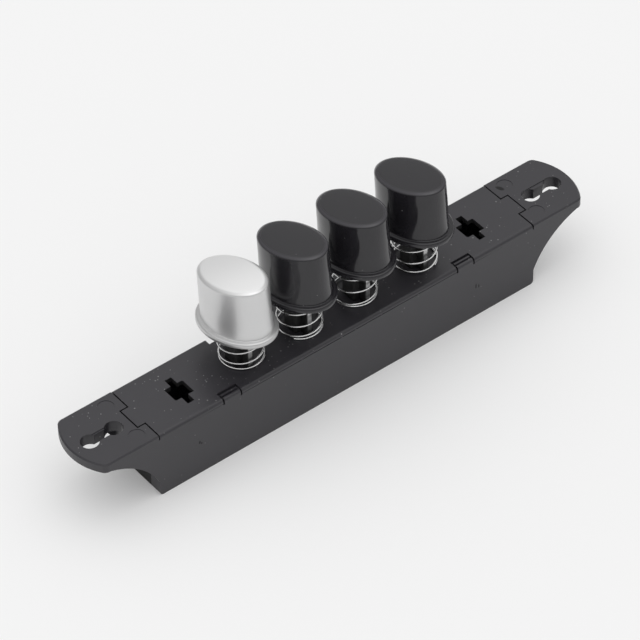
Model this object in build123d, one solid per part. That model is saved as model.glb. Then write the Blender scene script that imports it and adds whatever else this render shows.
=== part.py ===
"""Six-way piano key switch with four keys fitted.

Millimetres, +Z up. X runs along the key row, +Y to the rear. The origin is at
the middle of the housing, on the plane of its bottom rim.
"""
from build123d import *
from math import atan, cos, degrees
import os

# ---- key row ----
key_pitch = 20.0
aperture_count = 6
fitted_keys = (1, 2, 3, 4)      # apertures that carry a key, counted from the left end
row_end_margin = 4.7            # housing beyond the last half pitch of the row
row_y = -0.5                    # the key row sits a little forward of the housing's middle
key_travel = 5.0

# ---- housing ----
housing_width = 21.5
housing_height = 22.0
wall = 1.5
chamber_depth = 12.75           # from the cover's underside down to the floor
floor_thickness = 1.5
base_corner_radius = 1.0
seam_depth = 0.5                # the open seam under the cover's long edges
seam_height = 0.28              # at its middle; it closes towards its ends
seam_length = 112.0

# ---- fixing ears ----
ear_reach = 20.5
ear_thickness = 2.8
ear_edge_chamfer = 0.4          # round the top of the ears
ear_tip_radius = 17.0
ear_corner_radius = 2.3
gusset_foot_z = 5.0             # where the end profile starts to sweep out to the ear
gusset_mid_out = 5.8            # a point on the sweep, outward from the end wall
gusset_mid_z = 13.5
gusset_reach = 15.3             # where the sweep meets the ear's underside
slot_y = -0.8
slot_inner_out = 6.9            # inner lobe's centre, outward from the end wall
slot_lobe_pitch = 7.8
slot_lobe_radius = 2.6
slot_neck_width = 2.75
right_ledge_width = 1.1
left_ledge_width = 0.4
slot_ledge_depth = 0.2
slot_rim_height = 0.85          # a rim under the ear makes the slot deeper
slot_rim_wall = 1.1
ejector_mark_radius = 2.35
ejector_mark_depth = 0.12
ejector_mark_out = 3.9
ejector_mark_y = 6.8

# ---- cover ----
cover_end_setback = 0.75        # the cover is this much shorter than the box at each end
cover_thickness = 1.5
cover_edge_radius = 1.0         # along the two long edges
kerf = 0.4                      # visible gap between the cover and the ears
tongue_length = 2.5
tongue_width = 7.3
tongue_y = -0.7
snap_width = 6.3
snap_depth = 2.95               # of the notch in the cover, from the front face
snap_side_gap = 0.5
snap_back_gap = 0.88
snap_slit_depth = 0.4           # the side gaps run on this far into the wall
snap_front_radius = 0.9
snap_groove_width = 0.65        # the groove behind the tab's rounded front
snap_groove_depth = 0.6
snap_ledge_thickness = 0.6      # of the cover's ledge that the tab's nose lies on
snap_ledge_gap = 0.1
rear_notch_depth = 2.4
rear_window_depth = 5.5         # below the housing's top

# ---- plunger ----
block_x = 5.6
block_y = 4.75
fin_thickness = 1.75
fin_length = 9.9
rear_fin_shift = 0.25           # the rear fin stands a little aside of the front one
block_key_chamfer = 0.35        # on two opposite corners of the block and its aperture
guide_clearance = 0.2           # each side, round the block and the fins
fin_end_clearance = 0.38
collar_width = 8.4
collar_height = 2.2
collar_rest_gap = 0.1
cam_rise = 1.6
plunger_foot_depth = 0.5        # how far the foot stands in the floor's guide hole at rest
plunger_reach = 24.0            # above the cover

# ---- latch ----
lock_travel = 1.2               # from the released to the latched position, towards -X
lock_catch_gap = 0.1
lock_bar_thickness = 0.8
lock_rail_width = 1.6
lock_bar_corner_radius = 1.5
lock_window_clearance = 0.3
lock_collar_drop = 0.1          # a pressed collar lies this far under the bar
lock_bar_left_overhang = 13.0
lock_bar_right_overhang = 7.3
slide_gap = 0.05
lock_side_gap = 0.15
guide_rib_thickness = 1.5
guide_rib_shoulder = 1.8
lock_leaf_room = 6.9            # between the bar's end and the leaf's seat wall
lock_leaf_thickness = 0.3
lock_leaf_height = 2.6
lock_leaf_half_span = 5.0

# ---- contacts ----
pad_wall_gap = 0.25             # between the front strip and the front wall
pad_thickness = 0.8
pad_length = 4.0
pad_depth = 3.8
contact_inset = 2.0             # from a pad's outer edge to its contact
blade_width = 2.8
blade_thickness = 0.8
blade_foot_z = 0.8
blade_slot_clearance = 0.1
common_left_overhang = 4.0
bridge_thickness = 0.6
bridge_width = 2.6
bridge_end_width = 3.6
bridge_end_start = 2.6
bridge_overhang = 1.3           # beyond the contact's centre
button_radius = 1.1
button_height = 0.4
contact_end_gap = 0.05          # left between the contacts with the key fully down
window_side_clearance = 0.15
window_height = 3.6
leaf_thickness = 0.2
leaf_width = 2.3
leaf_half_span = 1.9
leaf_end_gap = 0.08

# ---- key cap: every section is an ellipse on a plane that falls to the rear ----
cap_flange_rise = 12.4          # flange's underside on the cap's centre line, above the cover
cap_flange_slope = 0.15
cap_flange_x = 9.35
cap_flange_y = 13.55
cap_flange_thickness = 1.6
cap_flange_edge = 0.2
cap_base_x = 7.95
cap_base_y = 12.2
cap_height = 16.9               # from there to the top's centre
cap_top_shift = 1.25            # the top's centre stands this far behind the flange's
cap_top_slope = 0.236
cap_top_x = 7.55
cap_top_y = 12.15
cap_top_edge = 1.0
cap_wall = 1.15
cap_roof = 1.6
socket_wall = 1.2
socket_clearance = 0.03
cap_rib_thickness = 1.0
spring_seat_rise = 1.8          # the spring bears on the ribs, this far inside the cap
cap_rise = (0.0, 0.7, 0.7, 0.7)     # how far each cap stands short of fully home on its plunger

# ---- return spring ----
spring_radius = 6.05
spring_wire = 0.55
spring_wire_sides = 5
spring_active_turns = 3.25
spring_end_turns = 0.75
spring_end_pitch = 0.6

# ---- worked out ----
base_length = aperture_count * key_pitch + 2 * row_end_margin
overall_length = base_length + 2 * ear_reach
cover_length = base_length - 2 * cover_end_setback
cover_bottom_z = housing_height - cover_thickness
floor_top_z = cover_bottom_z - chamber_depth
floor_bottom_z = floor_top_z - floor_thickness
ear_bottom_z = housing_height - ear_thickness
half_width = housing_width / 2
inner_half_width = half_width - wall
inner_half_length = base_length / 2 - wall
ear_inner_x = cover_length / 2 + kerf
plunger_foot_z = floor_top_z - plunger_foot_depth
plunger_top_z = housing_height + plunger_reach
collar_top_z = cover_bottom_z - collar_rest_gap
collar_bottom_z = collar_top_z - collar_height
cam_run = lock_travel + lock_catch_gap
lock_bar_z = collar_top_z - key_travel + lock_collar_drop
lock_bar_top_z = lock_bar_z + lock_bar_thickness
lock_window_x = collar_width + 2 * lock_window_clearance
lock_window_y = fin_length + 2 * guide_clearance
lock_bar_width = lock_window_y + 2 * lock_rail_width
pad_outer_y = inner_half_width - abs(row_y) - pad_wall_gap      # from the row's centre line
pad_inner_y = pad_outer_y - pad_depth
contact_reach = pad_outer_y - contact_inset
bridge_length = 2 * (contact_reach + bridge_overhang)
pad_top_z = floor_top_z + pad_thickness
bridge_z = pad_top_z + key_travel + contact_end_gap + button_height
window_bottom_z = bridge_z - slide_gap
window_x = bridge_width + 2 * window_side_clearance
cap_flange_z = housing_height + cap_flange_rise
cap_top_z = cap_flange_z + cap_height
spring_seat_z = cap_flange_z + spring_seat_rise


def aperture_x(index):
    """Centre of an aperture along the row."""
    return (index - (aperture_count - 1) / 2) * key_pitch


key_x = [aperture_x(index) for index in fitted_keys]
guide_rib_x = [x - key_pitch / 2 for x in key_x]
snap_x = aperture_x(aperture_count - 1) - key_pitch / 2
rear_notch_x = aperture_x(aperture_count - 2)
common_blade_x = aperture_x(fitted_keys[-1]) + key_pitch / 2
lock_bar_end_x = key_x[-1] + lock_bar_right_overhang
lock_seat_x = lock_bar_end_x + lock_leaf_room
ejector_mark_x = base_length / 2 + ejector_mark_out
slot_inner_x = base_length / 2 + slot_inner_out
slot_outer_x = slot_inner_x + slot_lobe_pitch


def block(x0, x1, y0, y1, z0, z1):
    """A box from its two corners."""
    return Pos((x0 + x1) / 2, (y0 + y1) / 2, (z0 + z1) / 2) * Box(x1 - x0, y1 - y0, z1 - z0)


def slanted_ellipse(semi_x, semi_y, centre_y, centre_z, slope):
    """An ellipse of the given plan size, on a plane that falls towards the rear."""
    plane = Plane(origin=(0, centre_y, centre_z), x_dir=(1, 0, 0), z_dir=(0, slope, 1))
    return plane * Ellipse(semi_x, semi_y / cos(atan(slope)))


# ---------------------------------------------------------------- housing
def end_profile():
    """Front view of the moulding: flat base, and ends that sweep out to the ears."""
    base = base_length / 2
    tip = overall_length / 2
    with BuildSketch(Plane.XZ) as sketch:
        with BuildLine():
            Line((0, 0), (base, 0))
            Line((base, 0), (base, gusset_foot_z))
            ThreePointArc(
                (base, gusset_foot_z),
                (base + gusset_mid_out, gusset_mid_z),
                (base + gusset_reach, ear_bottom_z),
            )
            Line((base + gusset_reach, ear_bottom_z), (tip, ear_bottom_z))
            Line((tip, ear_bottom_z), (tip, housing_height))
            Line((tip, housing_height), (0, housing_height))
            Line((0, housing_height), (0, 0))
        make_face()
        corner = sketch.vertices().filter_by_position(Axis.X, base - 0.1, base + 0.1).sort_by(Axis.Y)[0]
        fillet(corner, base_corner_radius)
        mirror(about=Plane.YZ)
    return sketch.sketch


def ear_plan():
    """Plan of the whole moulding, with a broad arc across each ear's tip."""
    tip = Pos(overall_length / 2 - ear_tip_radius, 0) * Circle(ear_tip_radius)
    middle = Rectangle(2 * (overall_length / 2 - ear_tip_radius), housing_width)
    right = tip & (Pos(overall_length / 2 - ear_tip_radius, 0) * Rectangle(4 * ear_tip_radius, housing_width))
    plan = middle + right + mirror(right, Plane.YZ)
    corners = [v for v in plan.vertices() if abs(v.X) > overall_length / 2 - ear_tip_radius + 1]
    return fillet(corners, ear_corner_radius)


def slot_outline(side):
    """Dumbbell outline of the screw slot through one ear."""
    inner = side * slot_inner_x
    outer = side * slot_outer_x
    outline = Pos(inner, slot_y) * Circle(slot_lobe_radius)
    outline += Pos(outer, slot_y) * Circle(slot_lobe_radius)
    return outline + Pos((inner + outer) / 2, slot_y) * Rectangle(slot_lobe_pitch, slot_neck_width)


def slot_rim(side):
    """Raised rim round the slot on the ear's underside."""
    rim = offset(slot_outline(side), slot_rim_wall)
    return Pos(0, 0, ear_bottom_z - slot_rim_height) * extrude(rim, slot_rim_height)


def fixing_slot(side):
    """The slot right through ear and rim, with a shallow ledge behind its neck."""
    slot = Pos(0, 0, ear_bottom_z - slot_rim_height - 1) * extrude(slot_outline(side), ear_thickness + 4)
    middle = side * (slot_inner_x + slot_outer_x) / 2
    ledge_width = right_ledge_width if side > 0 else left_ledge_width
    ledge_y = slot_y + slot_neck_width / 2
    ledge = block(
        middle - slot_lobe_pitch / 2,
        middle + slot_lobe_pitch / 2,
        ledge_y - 1,
        ledge_y + ledge_width,
        housing_height - slot_ledge_depth,
        housing_height + 1,
    )
    return slot + ledge


def ear_pocket(side):
    """The open space under one ear, between its front and rear gussets."""
    inner = base_length / 2
    pocket = block(inner, overall_length, -inner_half_width, inner_half_width, -1, ear_bottom_z)
    return pocket if side > 0 else mirror(pocket, Plane.YZ)


def snap_hook(side):
    """Tab of the front wall: a rounded front, a groove, and a nose over the cover's ledge."""
    front = -half_width
    foot_z = cover_bottom_z - snap_slit_depth
    groove_y = front + snap_front_radius
    groove_z = housing_height - snap_groove_depth
    slope = snap_groove_width / 4
    nose_y = front + snap_depth - snap_back_gap
    nose_z = cover_bottom_z + snap_ledge_thickness + slide_gap
    with BuildSketch(Plane.YZ) as profile:
        with BuildLine():
            Line((front, foot_z), (front, housing_height - snap_front_radius))
            RadiusArc(
                (front, housing_height - snap_front_radius), (groove_y, housing_height), snap_front_radius
            )
            Polyline(
                (groove_y, housing_height),
                (groove_y + slope, groove_z),
                (groove_y + snap_groove_width - slope, groove_z),
                (groove_y + snap_groove_width, housing_height),
                (nose_y, housing_height),
                (nose_y, nose_z),
                (-inner_half_width, nose_z),
                (-inner_half_width, foot_z),
                (front, foot_z),
            )
        make_face()
    return Pos(side * snap_x, 0, 0) * extrude(profile.sketch, snap_width / 2 - snap_side_gap, both=True)


def snap_slits(side):
    """The slits beside a tab, cut down into the wall."""
    x = side * snap_x
    half = snap_width / 2
    return block(
        x - half,
        x + half,
        -half_width - 1,
        -inner_half_width + 1,
        cover_bottom_z - snap_slit_depth,
        cover_bottom_z,
    )


def guide_rib(x):
    """Cross wall between two keys that carries the lock bar and guides its edges."""
    top = lock_bar_z + guide_rib_shoulder
    rib = block(
        x - guide_rib_thickness / 2,
        x + guide_rib_thickness / 2,
        -inner_half_width,
        inner_half_width,
        floor_top_z,
        top,
    )
    half = lock_bar_width / 2 + lock_side_gap
    near = x - guide_rib_thickness
    far = x + guide_rib_thickness
    rib -= block(near, far, row_y - half, row_y + half, lock_bar_z - slide_gap, top + 1)
    return rib


def blade_slot(x, y):
    """Slot in the floor for one terminal blade; y is the blade's centre."""
    half_x = blade_width / 2 + blade_slot_clearance
    half_y = blade_thickness / 2 + blade_slot_clearance
    return block(x - half_x, x + half_x, y - half_y, y + half_y, floor_bottom_z - 1, floor_top_z + 1)


def rear_blade_y():
    return row_y + pad_outer_y - blade_thickness / 2


def front_blade_y():
    return row_y - pad_outer_y + blade_thickness / 2


def outer_form():
    """Walls and ears, with the top edges broken and the ends swept in below the ears."""
    form = extrude(ear_plan(), housing_height)
    form = chamfer(form.faces().sort_by(Axis.Z)[-1].edges(), ear_edge_chamfer)
    return form & extrude(end_profile(), half_width, both=True)


def make_housing():
    """The moulded body: walls, floor, ears, ribs and snap hooks in one piece."""
    body = outer_form()

    # the mechanism chamber above the floor and the terminal bay below it
    chamber_x = inner_half_length
    body -= block(-chamber_x, chamber_x, -inner_half_width, inner_half_width, floor_top_z, housing_height + 1)
    body -= block(-chamber_x, chamber_x, -inner_half_width, inner_half_width, -1, floor_bottom_z)
    for side in (-1, 1):
        body -= ear_pocket(side)
        body += slot_rim(side)
        body -= fixing_slot(side)

    # the seat of the cover and of its tongues
    body -= block(
        -ear_inner_x, ear_inner_x, -half_width - 1, half_width + 1, cover_bottom_z, housing_height + 1
    )
    tongue_x = cover_length / 2 + tongue_length + kerf
    tongue_half = tongue_width / 2 + kerf
    body -= block(
        -tongue_x,
        tongue_x,
        tongue_y - tongue_half,
        tongue_y + tongue_half,
        cover_bottom_z,
        housing_height + 1,
    )

    # shallow round marks of the mould's ejector pins
    for x in (-ejector_mark_x, ejector_mark_x):
        for y in (-ejector_mark_y, ejector_mark_y):
            mark = Pos(x, y, housing_height) * Cylinder(ejector_mark_radius, 2 * ejector_mark_depth)
            body -= mark

    # windows in the rear wall
    for x in (-rear_notch_x, rear_notch_x):
        half = snap_width / 2
        sill = housing_height - rear_window_depth
        body -= block(x - half, x + half, inner_half_width - 1, half_width + 1, sill, housing_height)

    # what stands in the chamber
    for x in guide_rib_x:
        body += guide_rib(x)
    body += block(
        lock_seat_x,
        lock_seat_x + guide_rib_thickness,
        -inner_half_width,
        inner_half_width,
        floor_top_z,
        lock_bar_z + guide_rib_shoulder,
    )
    for side in (-1, 1):
        body -= snap_slits(side)
        body += snap_hook(side)

    # guide holes and blade slots in the floor, and the channel for the common strip
    for index in range(aperture_count):
        x = aperture_x(index)
        half_x = block_x / 2 + guide_clearance
        half_y = block_y / 2 + guide_clearance
        body -= block(
            x - half_x, x + half_x, row_y - half_y, row_y + half_y, floor_bottom_z - 1, floor_top_z + 1
        )
        body -= blade_slot(x, rear_blade_y())
    body -= blade_slot(common_blade_x, front_blade_y())
    body -= block(
        key_x[0] - common_left_overhang - kerf,
        common_blade_x + blade_width,
        row_y - pad_outer_y - blade_slot_clearance,
        row_y - pad_inner_y + blade_slot_clearance,
        floor_top_z,
        pad_top_z + blade_slot_clearance,
    )
    return body


# ---------------------------------------------------------------- cover
def block_plan(grow):
    """Section of the plunger's block, with two opposite corners cut off, let out by grow."""
    plan = Rectangle(block_x + 2 * grow, block_y + 2 * grow)
    corners = [v for v in plan.vertices() if v.X * v.Y > 0]
    return chamfer(corners, block_key_chamfer)


def fin_plan(grow, end_grow):
    """Section of the two fins; the rear one stands a little aside of the front one."""
    width = fin_thickness + 2 * grow
    reach = fin_length / 2 + end_grow
    front = Pos(0, -reach / 2) * Rectangle(width, reach)
    rear = Pos(rear_fin_shift, reach / 2) * Rectangle(width, reach)
    return front + rear


def plunger_aperture(x):
    """Cross-shaped hole that the plunger's block and fins run in."""
    plan = block_plan(guide_clearance) + fin_plan(guide_clearance, fin_end_clearance)
    return Pos(x, row_y, cover_bottom_z - 1) * extrude(plan, cover_thickness + 2)


def seam_relief():
    """Low bow under the cover's front edge, highest at the middle, that leaves the seam open."""
    half = seam_length / 2
    with BuildSketch(Plane.XZ.offset(half_width)) as sketch:
        with BuildLine():
            ThreePointArc((-half, cover_bottom_z), (0, cover_bottom_z + seam_height), (half, cover_bottom_z))
            Line((half, cover_bottom_z), (-half, cover_bottom_z))
        make_face()
    return extrude(sketch.sketch, -seam_depth)


def make_top_cover():
    """Snap-on plate with a tongue at each end and ribs that hold the lock bar down."""
    top = housing_height
    half = cover_length / 2
    cover = block(-half, half, -half_width, half_width, cover_bottom_z, top)
    cover = fillet(cover.edges().filter_by(Axis.X).group_by(Axis.Z)[-1], cover_edge_radius)
    cover -= seam_relief() + mirror(seam_relief(), Plane.XZ)
    cover += block(
        -half - tongue_length,
        half + tongue_length,
        tongue_y - tongue_width / 2,
        tongue_y + tongue_width / 2,
        cover_bottom_z,
        top,
    )
    for x in guide_rib_x:
        cover += block(
            x - guide_rib_thickness / 2,
            x + guide_rib_thickness / 2,
            row_y - lock_window_y / 2,
            row_y + lock_window_y / 2,
            lock_bar_top_z + slide_gap,
            cover_bottom_z,
        )
    for index in range(aperture_count):
        cover -= plunger_aperture(aperture_x(index))
    for x in (-snap_x, snap_x):
        near = x - snap_width / 2
        far = x + snap_width / 2
        through = -inner_half_width + snap_ledge_gap
        notch_y = -half_width + snap_depth
        ledge_z = cover_bottom_z + snap_ledge_thickness
        cover -= block(near, far, -half_width - 1, through, cover_bottom_z - 1, top + 1)
        cover -= block(near, far, through - 1, notch_y, ledge_z, top + 1)
    for x in (-rear_notch_x, rear_notch_x):
        cover -= block(
            x - snap_width / 2,
            x + snap_width / 2,
            half_width - rear_notch_depth,
            half_width + 1,
            cover_bottom_z - 1,
            top + 1,
        )
    return cover


# ---------------------------------------------------------------- latch
def make_lock_bar():
    """Flat steel slide with a window round each plunger; it catches on the collars."""
    left = key_x[0] - lock_bar_left_overhang
    half = lock_bar_width / 2
    bar = block(left, lock_bar_end_x, row_y - half, row_y + half, lock_bar_z, lock_bar_top_z)
    for x in key_x:
        bar -= Pos(x, row_y, lock_bar_z) * Box(lock_window_x, lock_window_y, 4 * lock_bar_thickness)
    return fillet(bar.edges().filter_by(Axis.Z).group_by(Axis.X)[0], lock_bar_corner_radius)


def make_lock_leaf():
    """Bowed leaf spring between the bar's end and its seat wall."""
    outer = lock_bar_end_x + slide_gap
    seat = lock_seat_x - slide_gap
    middle_z = lock_bar_z + lock_bar_thickness / 2
    with BuildSketch(Plane.XY.offset(middle_z)) as sketch:
        with BuildLine():
            front = ThreePointArc(
                (seat, row_y - lock_leaf_half_span), (outer, row_y), (seat, row_y + lock_leaf_half_span)
            )
            back = ThreePointArc(
                (seat, row_y - lock_leaf_half_span + 2 * lock_leaf_thickness),
                (outer + lock_leaf_thickness, row_y),
                (seat, row_y + lock_leaf_half_span - 2 * lock_leaf_thickness),
            )
            Line(front @ 0, back @ 0)
            Line(front @ 1, back @ 1)
        make_face()
    return extrude(sketch.sketch, lock_leaf_height / 2, both=True)


# ---------------------------------------------------------------- contacts
def make_terminal(x):
    """Rear contact of one key: a pad on the floor and a blade through it."""
    pad = block(
        x - pad_length / 2,
        x + pad_length / 2,
        row_y + pad_inner_y,
        row_y + pad_outer_y,
        floor_top_z,
        pad_top_z,
    )
    y = rear_blade_y()
    blade = block(
        x - blade_width / 2,
        x + blade_width / 2,
        y - blade_thickness / 2,
        y + blade_thickness / 2,
        blade_foot_z,
        pad_top_z,
    )
    return chamfer((pad + blade).edges().sort_by(Axis.Z)[0:1], 0.2)


def make_common_terminal():
    """Front contact strip shared by the keys, with one blade at its right end."""
    strip = block(
        key_x[0] - common_left_overhang,
        common_blade_x + blade_width / 2,
        row_y - pad_outer_y,
        row_y - pad_inner_y,
        floor_top_z,
        pad_top_z,
    )
    y = front_blade_y()
    blade = block(
        common_blade_x - blade_width / 2,
        common_blade_x + blade_width / 2,
        y - blade_thickness / 2,
        y + blade_thickness / 2,
        blade_foot_z,
        pad_top_z,
    )
    return strip + blade


def make_contact_bridge(x):
    """Moving contact: a strip through the plunger's window with a button at each end."""
    plan = Rectangle(bridge_width, bridge_length)
    end_length = bridge_length / 2 - bridge_end_start
    for side in (-1, 1):
        plan += Pos(0, side * (bridge_end_start + end_length / 2)) * Rectangle(bridge_end_width, end_length)
    strip = extrude(plan, bridge_thickness)
    for side in (-1, 1):
        strip += Pos(0, side * contact_reach, -button_height / 2) * Cylinder(button_radius, button_height)
    return Pos(x, row_y, bridge_z) * strip


def make_contact_leaf(x):
    """Bowed leaf that presses the contact bridge down in the plunger's window."""
    low = bridge_z + bridge_thickness + leaf_end_gap
    high = window_bottom_z + window_height - leaf_end_gap
    with BuildSketch(Plane.YZ) as sketch:
        with BuildLine():
            upper = ThreePointArc((-leaf_half_span, low), (0, high), (leaf_half_span, low))
            lower = ThreePointArc(
                (-leaf_half_span + 2 * leaf_thickness, low),
                (0, high - leaf_thickness),
                (leaf_half_span - 2 * leaf_thickness, low),
            )
            Line(upper @ 0, lower @ 0)
            Line(upper @ 1, lower @ 1)
        make_face()
    return Pos(x, row_y, 0) * extrude(sketch.sketch, leaf_width / 2, both=True)


# ---------------------------------------------------------------- keys
def make_plunger(x):
    """Cross-section stem with a latch collar and a window for the contact bridge."""
    stem = Pos(0, 0, plunger_foot_z) * extrude(block_plan(0), plunger_top_z - plunger_foot_z)
    stem += Pos(0, 0, collar_bottom_z) * extrude(fin_plan(0, 0), plunger_top_z - collar_bottom_z)
    half = collar_width / 2
    collar = block(-half, half, -half, half, collar_bottom_z, collar_top_z)
    cam_edge = collar.edges().filter_by(Axis.Y).sort_by(Axis.Z)[0:2].sort_by(Axis.X)[-1]
    collar = chamfer(cam_edge, cam_rise, cam_run, reference=collar.faces().sort_by(Axis.X)[-1])
    stem += collar
    stem -= block(
        -window_x / 2, window_x / 2, -half, half, window_bottom_z, window_bottom_z + window_height
    )
    stem = chamfer(stem.faces().sort_by(Axis.Z)[-1].edges(), 0.4)
    return Pos(x, row_y, 0) * stem


def cap_body():
    """Outer form: an oval that narrows upwards, cut by a top that falls to the rear."""
    flange_top_z = cap_flange_z + cap_flange_thickness
    base = slanted_ellipse(cap_base_x, cap_base_y, 0, flange_top_z - 0.5, cap_flange_slope)
    top = slanted_ellipse(cap_top_x, cap_top_y, cap_top_shift, cap_top_z, cap_top_slope)
    body = loft([base, top], ruled=True)
    return fillet(body.faces().sort_by(Axis.Z)[-1].edges(), cap_top_edge)


def cap_flange():
    """Thin oval flange round the cap's foot."""
    foot = slanted_ellipse(cap_flange_x, cap_flange_y, 0, cap_flange_z, cap_flange_slope)
    flange = extrude(foot, cap_flange_thickness, dir=(0, 0, 1))
    return chamfer(flange.edges().sort_by(Axis.Z)[-1], cap_flange_edge)


def cap_hollow():
    """Inside of the cap, one wall in from its outer form."""
    drop = 1.0
    foot = slanted_ellipse(
        cap_base_x - cap_wall, cap_base_y - cap_wall, 0, cap_flange_z - drop, cap_flange_slope
    )
    roof = slanted_ellipse(
        cap_top_x - cap_wall, cap_top_y - cap_wall, cap_top_shift, cap_top_z - cap_roof, cap_top_slope
    )
    return loft([foot, roof], ruled=True)


def cap_socket():
    """Cross-shaped socket and its ribs, before the cap's hollow trims them."""
    height = cap_top_z - spring_seat_z
    grow = 2 * socket_wall
    plan = Rectangle(block_x + grow, block_y + grow) + fin_plan(socket_wall, socket_wall)
    plan += Rectangle(2 * cap_base_x, cap_rib_thickness)
    plan += Rectangle(cap_rib_thickness, 2 * cap_base_y + 4)
    return Pos(0, row_y, spring_seat_z) * extrude(plan, height)


def stem_socket():
    """The hole that takes the plunger's top."""
    grow = 2 * socket_clearance
    plan = Rectangle(block_x + grow, block_y + grow) + fin_plan(socket_clearance, socket_clearance)
    depth = plunger_top_z + socket_clearance - spring_seat_z
    return Pos(0, row_y, spring_seat_z) * extrude(plan, depth)


def make_key_cap(x, rise):
    """Oval cap with a flange, hollow from below, with a socket for the plunger."""
    outside = cap_body() + cap_flange()
    hollow = cap_hollow()
    cap = outside - hollow
    cap += cap_socket() & hollow
    cap -= stem_socket()
    return Pos(x, 0, rise) * cap


def make_return_spring(x, rise):
    """Compression spring on the cover, with a closed coil at each end."""
    foot_z = housing_height + spring_wire / 2
    centre_height = spring_seat_z + rise - housing_height - spring_wire
    active_pitch = (centre_height - 2 * spring_end_pitch * spring_end_turns) / spring_active_turns
    end_coil = (spring_end_pitch, spring_end_turns)
    coils = (end_coil, (active_pitch, spring_active_turns), end_coil)
    edges = []
    z = foot_z
    turned = 0.0
    for pitch, turns in coils:
        coil = Helix(pitch=pitch, height=pitch * turns, radius=spring_radius)
        edges.append(Pos(0, 0, z) * (Rot(0, 0, turned) * coil))
        z += pitch * turns
        turned += 360.0 * turns
    path = Wire(edges)
    section = Plane(origin=path @ 0, z_dir=path % 0) * RegularPolygon(spring_wire / 2, spring_wire_sides)
    return Pos(x, row_y, 0) * sweep(section, path=path)


# ---------------------------------------------------------------- write
def main():
    os.makedirs("parts", exist_ok=True)
    parts = {
        "housing": make_housing(),
        "top_cover": make_top_cover(),
        "lock_bar": make_lock_bar(),
        "lock_leaf_spring": make_lock_leaf(),
        "common_terminal": make_common_terminal(),
    }
    for number, (x, rise) in enumerate(zip(key_x, cap_rise), start=1):
        parts[f"terminal_{number}"] = make_terminal(x)
        parts[f"contact_bridge_{number}"] = make_contact_bridge(x)
        parts[f"contact_leaf_{number}"] = make_contact_leaf(x)
        parts[f"plunger_{number}"] = make_plunger(x)
        parts[f"key_cap_{number}"] = make_key_cap(x, rise)
        parts[f"return_spring_{number}"] = make_return_spring(x, rise)
    for name, part in parts.items():
        export_step(part, f"parts/{name}.step")


main()
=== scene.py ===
"""Six-way piano key switch with four keys fitted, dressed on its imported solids."""

from math import atan, cos, pi, radians, sin

import bpy
from mathutils import Matrix, Vector


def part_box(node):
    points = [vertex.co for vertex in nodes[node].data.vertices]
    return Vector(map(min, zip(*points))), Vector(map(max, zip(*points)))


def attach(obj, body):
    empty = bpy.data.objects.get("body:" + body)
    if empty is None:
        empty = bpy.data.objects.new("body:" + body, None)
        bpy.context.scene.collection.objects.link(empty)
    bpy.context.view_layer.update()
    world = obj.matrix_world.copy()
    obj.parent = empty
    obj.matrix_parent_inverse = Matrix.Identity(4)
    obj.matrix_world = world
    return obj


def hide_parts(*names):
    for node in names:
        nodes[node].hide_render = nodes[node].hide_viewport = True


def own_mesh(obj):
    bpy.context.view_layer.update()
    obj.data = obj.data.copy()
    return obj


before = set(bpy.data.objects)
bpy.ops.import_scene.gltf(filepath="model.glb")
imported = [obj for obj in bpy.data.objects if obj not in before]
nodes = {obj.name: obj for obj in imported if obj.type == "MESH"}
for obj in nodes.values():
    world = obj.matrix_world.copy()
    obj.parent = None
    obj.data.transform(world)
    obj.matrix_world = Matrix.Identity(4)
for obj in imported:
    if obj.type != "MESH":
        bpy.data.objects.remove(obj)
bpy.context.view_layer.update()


# ---------------------------------------------------------------- housing
# The housing is one black moulding: a long box with a slotted ear at each end.
# Its mould was spark-eroded, so the plastic has a fine even grain. Handling has
# left white dust on it and a few dark scuffs on its front wall.
class Value:
    """One output of a shader node; arithmetic on it adds Math nodes."""

    def __init__(self, finish, socket):
        self.finish = finish
        self.socket = socket

    def __add__(self, other):
        return self.finish.maths("ADD", self, other)

    def __sub__(self, other):
        return self.finish.maths("SUBTRACT", self, other)

    def __rsub__(self, other):
        return self.finish.maths("SUBTRACT", other, self)

    def __mul__(self, other):
        return self.finish.maths("MULTIPLY", self, other)

    def __gt__(self, other):
        return self.finish.maths("GREATER_THAN", self, other)

    def __lt__(self, other):
        return self.finish.maths("LESS_THAN", self, other)

    __radd__ = __add__
    __rmul__ = __mul__


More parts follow.
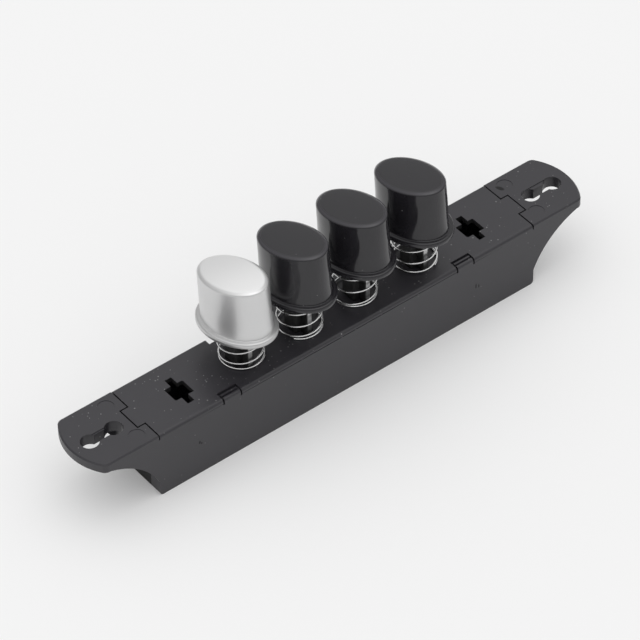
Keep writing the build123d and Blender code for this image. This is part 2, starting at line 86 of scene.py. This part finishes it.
class Finish:
    """The node tree of a material, or of the world, round its one shader."""

    def __init__(self, material, shader="Principled BSDF"):
        material.use_nodes = True
        self.material = material
        self.tree = material.node_tree
        self.shader = self.tree.nodes[shader]

    def node(self, kind, output=0, settings=None, **sockets):
        """Adds a node, makes its settings, feeds its sockets and gives one output."""
        made = self.tree.nodes.new(kind)
        for name, value in (settings or {}).items():
            setattr(made, name, value)
        for name, value in sockets.items():
            key = int(name[1:]) if name[0] == "_" else name.replace("_", " ")
            self.feed(made.inputs[key], value)
        return Value(self, made.outputs[output])

    def feed(self, socket, value):
        """Links a value to a socket, or sets the socket to a plain number or colour."""
        if isinstance(value, Value):
            self.tree.links.new(value.socket, socket)
        else:
            socket.default_value = value

    def maths(self, operation, *values):
        """A Math node on one to three values."""
        sockets = {f"_{number}": value for number, value in enumerate(values)}
        return self.node("ShaderNodeMath", settings={"operation": operation}, **sockets)

    def mix(self, amount, first, second):
        """A colour between two colours."""
        return self.node(
            "ShaderNodeMix",
            output=2,
            settings={"data_type": "RGBA"},
            _0=amount,
            _6=first,
            _7=second,
        )

    def place(self):
        """Where a point of the surface lies, in metres."""
        return self.node("ShaderNodeTexCoord", output="Object")

    def axes(self, vector):
        """The three numbers of a vector."""
        split = self.node("ShaderNodeSeparateXYZ", Vector=vector)
        outputs = split.socket.node.outputs
        return [Value(self, outputs[axis]) for axis in "XYZ"]

    def bump(self, height, distance, strength):
        """A surface normal tipped by a height that varies."""
        return self.node("ShaderNodeBump", Strength=strength, Distance=distance, Height=height)

    def noise(self, scale, detail=2.0, roughness=0.5):
        """An even random cloud between 0 and 1, scale to the metre."""
        return self.node(
            "ShaderNodeTexNoise",
            Vector=self.place(),
            Scale=scale,
            Detail=detail,
            Roughness=roughness,
        )

    def ramp(self, value, low, high):
        """Rises smoothly from 0 at low to 1 at high."""
        return self.node(
            "ShaderNodeMapRange",
            settings={"interpolation_type": "SMOOTHSTEP"},
            Value=value,
            From_Min=low,
            From_Max=high,
        )

    def specks(self, spacing, radius, share):
        """Small round specks, some faint: a share of the cells of a random grid."""
        cell = self.node(
            "ShaderNodeTexVoronoi", output="Distance", Vector=self.place(), Scale=1 / spacing
        )
        tints = cell.socket.node.outputs["Color"]
        chance, size, strength = self.axes(Value(self, tints))
        near = cell < size * (radius / spacing)
        return near * (chance < share) * strength

    def within(self, place, centre, half_size):
        """1 where a number is within half_size of centre."""
        return self.maths("ABSOLUTE", place - centre) < half_size

    def spot(self, across, up, half_width, half_height):
        """1 round the middle of an oval spot and 0 from its edge on."""
        across = across * (1 / half_width)
        up = up * (1 / half_height)
        return self.ramp(across * across + up * up, 1.0, 0.3)

    def shade(self, **sockets):
        """Feeds the shader's own sockets."""
        for name, value in sockets.items():
            self.feed(self.shader.inputs[name.replace("_", " ")], value)


def grey(level, tint=(1.0, 1.0, 1.0)):
    """A neutral colour, or one that a tint leans a little."""
    return (level * tint[0], level * tint[1], level * tint[2], 1.0)


def give(finish, *names):
    """Puts a finish on solids of the frame."""
    for name in names:
        slots = nodes[name].data.materials
        slots.clear()
        slots.append(finish.material)


cool = (1.0, 0.95, 1.12)        # the tint of the black plastic
plastic_dark, plastic_light = grey(0.026, cool), grey(0.033, cool)
# The first colour paints scuffs and a painted shadow in one dent; the second is painted shade
# for the room under the cover.
scuff_and_shadow_black, painted_inside_shade, dust_grey = grey(0.003), grey(0.010), grey(0.30)
cover_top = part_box("top_cover")[1].z
top_depth = 0.0003              # a point this near to the cover's top counts as on it
row_y = (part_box("lock_bar")[0].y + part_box("lock_bar")[1].y) / 2
inside_length, inside_width = 0.066, 0.0062     # halves of the room under the cover
front_wall = -0.0106            # the front wall is what lies in front of this
scuffs = (                      # along, up, half width and half height on the front wall
    (0.0438, 0.0113, 0.00028, 0.0011),
    (0.0448, 0.0108, 0.00022, 0.0008),
    (-0.0513, 0.0114, 0.00035, 0.0007),
    (-0.0507, 0.0108, 0.00025, 0.0005),
)
dent_x, dent_y, dent_lean = 0.06685, 0.00672, 0.34
dent_width, dent_length = 0.0009, 0.0015        # halves of a painted shadow in a dent of one ejector mark
dust_spacing, dust_radius = 0.0008, 0.00022
dust_on_walls, dust_more_on_top = 0.03, 0.17    # shares of the places a speck may lie

black_moulding = Finish(bpy.data.materials.new("black_moulding"))
grain = black_moulding.noise(3200.0, detail=3.0, roughness=0.6)
mottle = black_moulding.noise(90.0, detail=4.0, roughness=0.6)
upwards = black_moulding.axes(black_moulding.node("ShaderNodeNewGeometry", output="Normal"))[2]
facing_up = black_moulding.ramp(upwards, 0.2, 0.8)
dust_share = dust_more_on_top * facing_up + dust_on_walls
dust = black_moulding.specks(dust_spacing, dust_radius, dust_share)
x, y, z = black_moulding.axes(black_moulding.place())
# Painted shade: the room under the cover, where little light reaches, is painted near black.
inside = (
    (z < cover_top - top_depth)
    * black_moulding.within(y, row_y, inside_width)
    * black_moulding.within(x, 0.0, inside_length)
)
scuffed = 0.0
for mark_x, mark_z, half_width, half_height in scuffs:
    scuffed = scuffed + black_moulding.spot(x - mark_x, z - mark_z, half_width, half_height)
# Painted shadow: a dark oval in the dent of one ejector mark on the top, mixed in with the
# scuffs.
dent_across = x - dent_x + dent_lean * (y - dent_y)
dent_shadow = black_moulding.spot(dent_across, y - dent_y, dent_width, dent_length)
scuffs_and_dent_shadow = scuffed * (y < front_wall) + dent_shadow * (z > cover_top - top_depth)
plastic = black_moulding.mix(mottle, plastic_dark, plastic_light)
plastic = black_moulding.mix(0.9 * scuffs_and_dent_shadow, plastic, scuff_and_shadow_black)
# Painted shade on the room under the cover.
plastic = black_moulding.mix(inside, plastic, painted_inside_shade)
black_moulding.shade(
    Base_Color=black_moulding.mix(dust, plastic, dust_grey),
    Roughness=0.33 + 0.08 * mottle + 0.4 * inside + 0.4 * scuffs_and_dent_shadow,
    Normal=black_moulding.bump(grain, distance=0.0001, strength=0.15),
)
give(black_moulding, "housing", "top_cover")

# ---------------------------------------------------------------- contacts
# Terminal blades and contact bridges are stamped from brass strip and left bare.
# The blades press into slots in the floor; each bridge lies in its plunger.
brass_dull, brass_bright = (0.72, 0.52, 0.24, 1.0), (0.86, 0.68, 0.38, 1.0)
brass = Finish(bpy.data.materials.new("contact_brass"))
tarnish = brass.noise(220.0, detail=4.0, roughness=0.6)
brass.shade(
    Base_Color=brass.mix(tarnish, brass_dull, brass_bright),
    Roughness=0.22 + 0.2 * tarnish,
    Metallic=1.0,
)
give(brass, *[name for name in nodes if "terminal" in name or "bridge" in name])

# ---------------------------------------------------------------- lock bar
# The lock bar is a strip of zinc-plated sheet steel that slides under the cover
# and holds a pressed key down.
zinc = Finish(bpy.data.materials.new("zinc_plate"))
spangle = zinc.noise(350.0, detail=5.0, roughness=0.65)
zinc.shade(
    Base_Color=zinc.mix(spangle, grey(0.50), grey(0.66)),
    Roughness=0.3 + 0.2 * spangle,
    Metallic=1.0,
)
give(zinc, "lock_bar")

# ---------------------------------------------------------------- plungers
# A plunger is a smooth black moulding of cross section. A thin bright metal strip on the edge
# of its front fin stands in for a bright reflection there, and is painted brighter towards its
# top as a painted highlight.
plunger_black = Finish(bpy.data.materials.new("plunger_black"))
rub = plunger_black.noise(900.0, detail=3.0)
plunger_black.shade(Base_Color=grey(0.022), Roughness=0.32 + 0.1 * rub)
give(plunger_black, *[name for name in nodes if name.startswith("plunger")])

keys = (1, 2, 3, 4)
strip_width = 0.0013
strip_thickness = 0.00012
strip_gap = 0.00001             # between the fin's edge and the strip
strip_length = 0.0157
strip_bevel = 0.4 * strip_thickness
seat_gap = 0.0001               # a strip ends this far under the spring's seat in the cap
strip_shade, strip_highlight = grey(0.26), grey(0.78)
highlight_starts, highlight_full = cover_top + 0.002, cover_top + 0.010
highlight_strip = Finish(bpy.data.materials.new("highlight_strip"))
drawn = highlight_strip.noise(1500.0)
strip_z = highlight_strip.axes(highlight_strip.place())[2]
# Painted highlight: the strip is painted brighter from near the cover upwards.
painted_highlight = highlight_strip.ramp(strip_z, highlight_starts, highlight_full)
highlight_strip.shade(
    Base_Color=highlight_strip.mix(painted_highlight, strip_shade, strip_highlight),
    Roughness=0.26 + 0.1 * drawn,
    Metallic=1.0,
)
for key in keys:
    low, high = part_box(f"plunger_{key}")
    middle = (low.x + high.x) / 2
    bpy.ops.object.select_all(action="DESELECT")
    strip_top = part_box(f"return_spring_{key}")[1].z - seat_gap
    strip_y = low.y - strip_gap - strip_thickness / 2
    bpy.ops.mesh.primitive_cube_add(
        size=1.0, location=(middle, strip_y, strip_top - strip_length / 2)
    )
    strip = bpy.context.object
    strip.name = f"fin_strip_{key}"
    strip.scale = (strip_width, strip_thickness, strip_length)
    bpy.ops.object.transform_apply(location=True, rotation=False, scale=True)
    bevel = strip.modifiers.new("edge", "BEVEL")
    bevel.width = strip_bevel
    bevel.segments = 2
    bpy.ops.object.modifier_apply(modifier="edge")
    strip.data.materials.append(highlight_strip.material)
    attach(strip, f"key_{key}")

# ---------------------------------------------------------------- leaves
# The leaves are bowed strips of bright spring steel. One pushes the lock bar back, and one in
# each plunger presses its contact bridge down.
steel = Finish(bpy.data.materials.new("spring_steel"))
draw_marks = steel.noise(2400.0)
steel.shade(Base_Color=grey(0.83), Roughness=0.16 + 0.12 * draw_marks, Metallic=1.0)
give(steel, *[name for name in nodes if "leaf" in name])

merge_distance = 0.000001


def merged_copy(solid, name):
    """A solid of the frame as a piece of its own, with its loose triangles joined."""
    piece = bpy.data.objects.new(name, solid.data.copy())
    bpy.context.scene.collection.objects.link(piece)
    bpy.ops.object.select_all(action="DESELECT")
    piece.select_set(True)
    bpy.context.view_layer.objects.active = piece
    bpy.ops.object.mode_set(mode="EDIT")
    bpy.ops.mesh.select_all(action="SELECT")
    bpy.ops.mesh.remove_doubles(threshold=merge_distance)
    bpy.ops.object.mode_set(mode="OBJECT")
    return piece


for key in keys:
    solid = nodes[f"contact_leaf_{key}"]
    low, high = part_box(solid.name)
    middle = (low + high) / 2
    leaf = merged_copy(solid, f"leaf_{key}")
    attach(leaf, f"key_{key}")
    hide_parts(solid.name)
    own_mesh(leaf)

# ---------------------------------------------------------------- return springs
# Each key stands on a compression spring of bright drawn wire. Its end coils
# are closed and cut off square, and it was dropped in at whatever turn it had.
wire_radius = 0.000275
wire_sides = 10
steps_a_turn = 40
coil_radius = 0.00615
end_pitch = 0.00058             # of the closed end coils
rest_pitch = 0.0044             # of the open coils above the first
top_aside = 0.0001              # a spring leans from where its foot stands to here
spring_feet = {                 # the wire's start, end turns, first pitch, foot's x and y
    1: (radians(138), 0.80, 0.0038, 0.0013, 0.00045),
    2: (radians(217), 0.90, 0.0034, 0.0004, -0.0003),
    3: (radians(185), 1.08, 0.0044, -0.0005, 0.0003),
    4: (radians(292), 0.90, 0.0034, 0.0004, 0.0001),
}


def coil_run(turned, foot, turns, pitch):
    """A run of the coil: a ring of the wire's section, swept round by a screw."""
    bpy.ops.object.select_all(action="DESELECT")
    bpy.ops.mesh.primitive_circle_add(
        vertices=wire_sides,
        radius=wire_radius,
        location=(coil_radius, 0, foot),
        rotation=(pi / 2, 0, 0),
    )
    run = bpy.context.object
    bpy.ops.object.transform_apply(location=True, rotation=True)
    sweep = run.modifiers.new("sweep", "SCREW")
    sweep.angle = turns * 2 * pi
    sweep.screw_offset = turns * pitch
    sweep.steps = round(turns * steps_a_turn)
    sweep.render_steps = sweep.steps
    bpy.ops.object.modifier_apply(modifier="sweep")
    run.rotation_euler.z = turned
    bpy.ops.object.transform_apply(rotation=True)
    return run


def close_ends(piece):
    """Merges the runs and closes the two cut ends of the wire."""
    bpy.ops.object.select_all(action="DESELECT")
    piece.select_set(True)
    bpy.context.view_layer.objects.active = piece
    bpy.ops.object.mode_set(mode="EDIT")
    bpy.ops.mesh.select_all(action="SELECT")
    bpy.ops.mesh.remove_doubles(threshold=wire_radius * 0.1)
    bpy.ops.mesh.select_all(action="DESELECT")
    bpy.ops.mesh.select_mode(type="EDGE")
    bpy.ops.mesh.select_non_manifold()
    bpy.ops.mesh.edge_face_add()
    bpy.ops.mesh.select_all(action="SELECT")
    bpy.ops.mesh.normals_make_consistent(inside=False)
    bpy.ops.object.mode_set(mode="OBJECT")
    bpy.ops.object.shade_smooth_by_angle(angle=radians(50))


for key, (foot_angle, end_turns, first_pitch, aside, behind) in spring_feet.items():
    low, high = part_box(f"return_spring_{key}")
    rest_rise = high.z - low.z - 2 * wire_radius - 2 * end_turns * end_pitch - first_pitch
    runs = (
        (end_turns, end_pitch),
        (1.0, first_pitch),
        (rest_rise / rest_pitch, rest_pitch),
        (end_turns, end_pitch),
    )
    turned = foot_angle
    foot = low.z + wire_radius
    pieces = []
    for turns, pitch in runs:
        pieces.append(coil_run(turned, foot, turns, pitch))
        turned += turns * 2 * pi
        foot += turns * pitch
    bpy.ops.object.select_all(action="DESELECT")
    for piece in pieces:
        piece.select_set(True)
    spring = pieces[0]
    bpy.context.view_layer.objects.active = spring
    bpy.ops.object.join()
    spring.name = f"spring_{key}"
    close_ends(spring)
    centre_x = (low.x + high.x) / 2 + aside
    centre_y = (low.y + high.y) / 2 + behind
    lean = ((top_aside - aside) / (high.z - low.z), -behind / (high.z - low.z))
    spring.location = (centre_x, centre_y, low.z)
    spring.data.transform(Matrix.Translation((0, 0, -low.z)))
    spring.data.transform(Matrix.Shear("XY", 4, lean))
    bpy.ops.object.transform_apply(location=True)
    spring.data.materials.append(steel.material)
    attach(spring, "switch_body")
    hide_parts(f"return_spring_{key}")
    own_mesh(spring)

# ---------------------------------------------------------------- caps
# The caps are hollow oval mouldings pushed on the plungers, each with a rounded
# flange at its foot and a soft edge round a slightly crowned top. Three are
# plain black, satin on top and glossier round the sides; one is painted silver.
ring_points = 112
flange_across = 0.00935         # half its width
flange_along = 0.01355          # half its length
flange_slope = 0.15
flange_height = 0.0016
flange_edge = 0.0007            # the rounding of its rim
foot_round = 0.00025            # and of the corner between flange and body
body_across = (0.00795, 0.00755)        # half its width, at its foot and at its top
body_along = (0.01220, 0.01215)         # half its length
body_shift = (0.0, 0.00125)             # its middle, along the cap
body_slope = (0.15, 0.236)
body_foot = 0.0011              # where the body starts, above the flange's underside
body_top = 0.0169               # where its top plane lies, above the same
body_rings = (0.0060, 0.0110)   # heights of the rings between
top_lift = 0.00020              # of the crown's middle over the top plane
corner_radius = 0.0006          # the tight turn at the top's rim
soft_radius = 0.0030            # the wide turn inside it
soft_turn = radians(35)
crown_turn = radians(4)
crown_rise = 0.0003
hub_share = 0.02                # how much of an oval is left before it closes at the middle
crown_shares = (0.85, 0.65, 0.45, 0.25, 0.10, hub_share)
cap_wall = 0.00115
roof = 0.0016
flange_chamfer = 0.00015        # at the flange's underside, outside
mouth_chamfer = 0.0002          # and at the mouth of the hollow
core_overlap = 0.00008          # how far the core of socket and ribs bites into the walls
core_reach = 0.003              # how far that form goes on below the mouth
cap_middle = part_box("key_cap_1")[0].z + 0.008   # over the flange and under the top


def body_oval(height, inset=0.0, raised=0.0):
    """The body's oval at a height over the flange's underside, made smaller by inset."""
    share = (height - body_foot) / (body_top - body_foot)
    ranges = (body_across, body_along, body_shift, body_slope)
    across, along, shift, slope = (low + share * (high - low) for low, high in ranges)
    return across - inset, along - inset, shift, height + raised, slope


def top_oval(inset, drop, share=1.0):
    """An oval of the top, drop below its crown; share brings it in towards the middle."""
    across, along, shift, height, slope = body_oval(body_top, inset, top_lift - drop)
    return share * across, share * along, shift, height, slope


def flange_oval(inset, height):
    """The flange's oval at a height over its underside."""
    return flange_across - inset, flange_along - inset, 0.0, height, flange_slope


def inner_ovals(grow=0.0):
    """The hollow, from the middle of its roof down to the flange's underside."""
    across, along, shift, height, slope = body_oval(body_top, cap_wall, grow - roof)
    yield hub_share * across, hub_share * along, shift, height, slope
    yield body_oval(body_top, cap_wall - grow, grow - roof)
    yield body_oval(body_foot, cap_wall - grow, mouth_chamfer - body_foot)


def angles(start, end, steps):
    """Even steps from one angle to another, both included."""
    return [start + (end - start) * step / steps for step in range(steps + 1)]


def outer_ovals():
    """The outside, from the flange's underside up to the middle of the crown."""
    yield flange_oval(flange_chamfer, 0.0)
    yield flange_oval(0.0, flange_chamfer)
    for turn in angles(0, pi / 2, 4):
        inset, drop = flange_edge * (1 - cos(turn)), flange_edge * (1 - sin(turn))
        yield flange_oval(inset, flange_height - drop)
    for turn in angles(0, pi / 2, 3):
        rise, inset = foot_round * (1 - cos(turn)), -foot_round * (1 - sin(turn))
        yield body_oval(flange_height + rise, inset)
    for height in body_rings:
        yield body_oval(height)
    corner_drop = crown_rise + soft_radius * (cos(crown_turn) - cos(soft_turn))
    for turn in angles(pi / 2, soft_turn, 4):
        corner_inset = corner_radius * (1 - sin(turn))
        yield top_oval(
            corner_inset, corner_drop + corner_radius * (cos(soft_turn) - cos(turn))
        )
    for turn in angles(soft_turn, crown_turn, 5)[1:]:
        inset = corner_inset + soft_radius * (sin(soft_turn) - sin(turn))
        yield top_oval(inset, corner_drop - soft_radius * (cos(turn) - cos(soft_turn)))
    for share in crown_shares:
        yield top_oval(inset, crown_rise * share * share, share)


def add_oval(across, along, shift, height, slope):
    """A ring of points on a plane that falls towards the rear."""
    bpy.ops.object.select_all(action="DESELECT")
    tilt = atan(slope)
    bpy.ops.mesh.primitive_circle_add(
        vertices=ring_points, radius=1.0, location=(0, shift, height), rotation=(-tilt, 0, 0)
    )
    oval = bpy.context.object
    oval.scale = (across, along / cos(tilt), 1.0)
    bpy.ops.object.transform_apply(location=True, rotation=True, scale=True)
    return oval


def pick(piece, first, count):
    """Selects count points of a piece, from the one numbered first, and opens it to edit."""
    bpy.context.view_layer.objects.active = piece
    points = piece.data.vertices
    picked = [first <= number < first + count for number in range(len(points))]
    points.foreach_set("select", picked)
    bpy.ops.object.mode_set(mode="EDIT")


def loft(ovals):
    """Skins one oval after the other, and closes the first and the last at the middle."""
    bpy.context.tool_settings.mesh_select_mode = (True, False, False)
    form = None
    for oval in ovals:
        added = add_oval(*oval)
        if form is None:
            form = added
            continue
        form.select_set(True)
        bpy.context.view_layer.objects.active = form
        bpy.ops.object.join()
        bpy.ops.object.mode_set(mode="EDIT")
        bpy.ops.mesh.select_all(action="DESELECT")
        bpy.ops.object.mode_set(mode="OBJECT")
        pick(form, len(form.data.vertices) - 2 * ring_points, 2 * ring_points)
        bpy.ops.mesh.bridge_edge_loops()
        bpy.ops.mesh.select_all(action="DESELECT")
        bpy.ops.object.mode_set(mode="OBJECT")
    for first in (len(form.data.vertices) - ring_points, 0):
        pick(form, first, ring_points)
        bpy.ops.mesh.merge(type="CENTER")
        bpy.ops.mesh.select_all(action="SELECT")
        bpy.ops.mesh.normals_make_consistent(inside=False)
        bpy.ops.mesh.select_all(action="DESELECT")
        bpy.ops.object.mode_set(mode="OBJECT")
    return form


def socket_core(solid, place):
    """The socket and ribs of a solid cap: what a form that fills its hollow meets."""
    ovals = list(inner_ovals(core_overlap))
    across, along, shift, height, slope = ovals[-1]
    ovals.append((across, along, shift, -core_reach, slope))
    ovals.append((hub_share * across, hub_share * along, shift, -core_reach, slope))
    filler = loft(ovals)
    filler.location = place
    core = merged_copy(solid, "core")
    core.data.materials.clear()
    common = core.modifiers.new("inside", "BOOLEAN")
    common.operation = "INTERSECT"
    common.object = filler
    bpy.ops.object.select_all(action="DESELECT")
    core.select_set(True)
    bpy.context.view_layer.objects.active = core
    bpy.ops.object.modifier_apply(modifier="inside")
    bpy.data.objects.remove(filler)
    return core


def flat_and_edge(finish):
    """Masks of the faces that lie along a cap's top, and of the soft edge round it."""
    _, y, z = finish.axes(finish.node("ShaderNodeNewGeometry", output="Normal"))
    height = finish.axes(finish.place())[2]
    tilt = atan(body_slope[1])
    facing = sin(tilt) * y + cos(tilt) * z
    flat = finish.ramp(facing, 0.90, 0.985)
    return flat, finish.ramp(facing, 0.65, 0.82) * (1.0 - flat) * (height > cap_middle)


body_black, rim_highlight_black = grey(0.018, cool), grey(0.036, cool)
cap_black = Finish(bpy.data.materials.new("cap_black"))
cap_grain = cap_black.noise(2600.0, detail=3.0)
wear = cap_black.noise(140.0, detail=4.0, roughness=0.6)
cap_dust = cap_black.specks(spacing=0.0010, radius=0.0002, share=0.05)
flat, edge = flat_and_edge(cap_black)
# Painted highlight: the soft edge round the top is painted lighter than the body.
plastic = cap_black.mix(edge, body_black, rim_highlight_black)
cap_black.shade(
    Base_Color=cap_black.mix(cap_dust, plastic, dust_grey),
    Roughness=0.09 + 0.25 * flat + 0.04 * wear,
    Normal=cap_black.bump(cap_grain, distance=0.0001, strength=0.05),
)

# The third colour is painted shade for the flange.
paint_dark, paint_light, flange_shade_paint = grey(0.64), grey(0.69), grey(0.58)
# Painted sheen on the top, darker at the rear and lighter at the front.
sheen_rear, sheen_front = grey(0.69), grey(0.86)
sheen_reach = 0.012             # the top's painted sheen runs from this far behind to as far in front
flange_overlap = 0.0001         # how far the flange's painted shade runs up the body
flange_line = (
    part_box("key_cap_1")[0].z + flange_slope * flange_along + flange_height + flange_overlap
)
cap_silver = Finish(bpy.data.materials.new("cap_silver"))
flake = cap_silver.noise(5200.0)
cloud = cap_silver.noise(180.0, detail=4.0, roughness=0.6)
_, y, z = cap_silver.axes(cap_silver.place())
flat = flat_and_edge(cap_silver)[0]
# Painted highlight: the top is painted lighter than the sides, and less metallic.
top_highlight = flat * (z > cap_middle)
forward = cap_silver.ramp(y, sheen_reach, -sheen_reach)
painted_sheen = cap_silver.mix(forward, sheen_rear, sheen_front)
# Painted shade: the flange is painted darker than the body.
on_flange = z + flange_slope * y < flange_line
paint_and_flange_shade = cap_silver.mix(cloud, paint_dark, paint_light)
paint_and_flange_shade = cap_silver.mix(on_flange, paint_and_flange_shade, flange_shade_paint)
cap_silver.shade(
    Base_Color=cap_silver.mix(top_highlight, paint_and_flange_shade, painted_sheen),
    Roughness=0.32 + 0.06 * cloud,
    Metallic=0.78 - 0.63 * top_highlight,
    Normal=cap_silver.bump(flake, distance=0.0001, strength=0.02),
)

for key in keys:
    solid = nodes[f"key_cap_{key}"]
    low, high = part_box(solid.name)
    place = ((low.x + high.x) / 2, 0, low.z + flange_slope * flange_along)
    core = socket_core(solid, place)
    cap = loft([*inner_ovals(), *outer_ovals()])
    cap.name = f"cap_{key}"
    cap.location = place
    bpy.ops.object.select_all(action="DESELECT")
    cap.select_set(True)
    bpy.context.view_layer.objects.active = cap
    bpy.ops.object.transform_apply(location=True)
    core.select_set(True)
    bpy.ops.object.join()
    bpy.ops.object.shade_smooth_by_angle(angle=radians(50))
    finish = cap_silver if key == 1 else cap_black
    cap.data.materials.append(finish.material)
    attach(cap, f"key_{key}")
    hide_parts(f"key_cap_{key}")

# ---------------------------------------------------------------- stage
# The switch stands on a wide sheet of matt pale paper under even, soft light
# from the whole sky, a little stronger from straight above.
floor_size = 6.0
bpy.ops.object.select_all(action="DESELECT")
bpy.ops.mesh.primitive_plane_add(size=floor_size)
floor = bpy.context.object
floor.name = "floor"
paper = Finish(bpy.data.materials.new("floor_paper"))
paper_level = 0.905
lift = 0.17                     # the share of its tone that the paper keeps in shadow
rays = paper.node("ShaderNodeLightPath", output="Is Camera Ray").socket.node.outputs
kinds = ("Is Camera Ray", "Is Glossy Ray", "Is Transmission Ray")
seen = [Value(paper, rays[kind]) for kind in kinds]
lifted = lift * paper.maths("MAXIMUM", paper.maths("MAXIMUM", seen[0], seen[1]), seen[2])
paper.shade(
    Base_Color=paper.mix(lifted, grey(paper_level), grey(0.0)),
    Roughness=1.0,
    Specular_IOR_Level=0.0,
    Emission_Color=paper.mix(lifted, grey(0.0), grey(paper_level)),
    Emission_Strength=1.0,
)
floor.data.materials.append(paper.material)

horizon_light, rising_light, overhead_light = 0.28, 0.72, 1.0
world = bpy.data.worlds.new("studio")
sky = Finish(world, "Background")
up = sky.axes(sky.node("ShaderNodeTexCoord", output="Generated"))[2]
height = sky.maths("MAXIMUM", up, 0.0)
overhead = sky.maths("POWER", height, 6.0)
sky.shade(
    Color=grey(1.0),
    Strength=horizon_light + rising_light * height + overhead_light * overhead,
)
bpy.context.scene.world = world

aim = Vector((-0.0045, -0.0030, 0.0220))
distance = 1.131
azimuth = radians(-37.95)
elevation = radians(44.04)
roll = radians(-0.78)
camera_data = bpy.data.cameras.new("camera")
camera_data.sensor_width = 36.0
camera_data.lens = 237.3
camera = bpy.data.objects.new("camera", camera_data)
bpy.context.scene.collection.objects.link(camera)
turn = Matrix.Rotation(azimuth, 4, "Z") @ Matrix.Rotation(pi / 2 - elevation, 4, "X")
turn = turn @ Matrix.Rotation(roll, 4, "Z")
camera.matrix_world = Matrix.Translation(aim + turn @ Vector((0, 0, distance))) @ turn
bpy.context.scene.camera = camera

bpy.context.scene.view_settings.view_transform = "Standard"
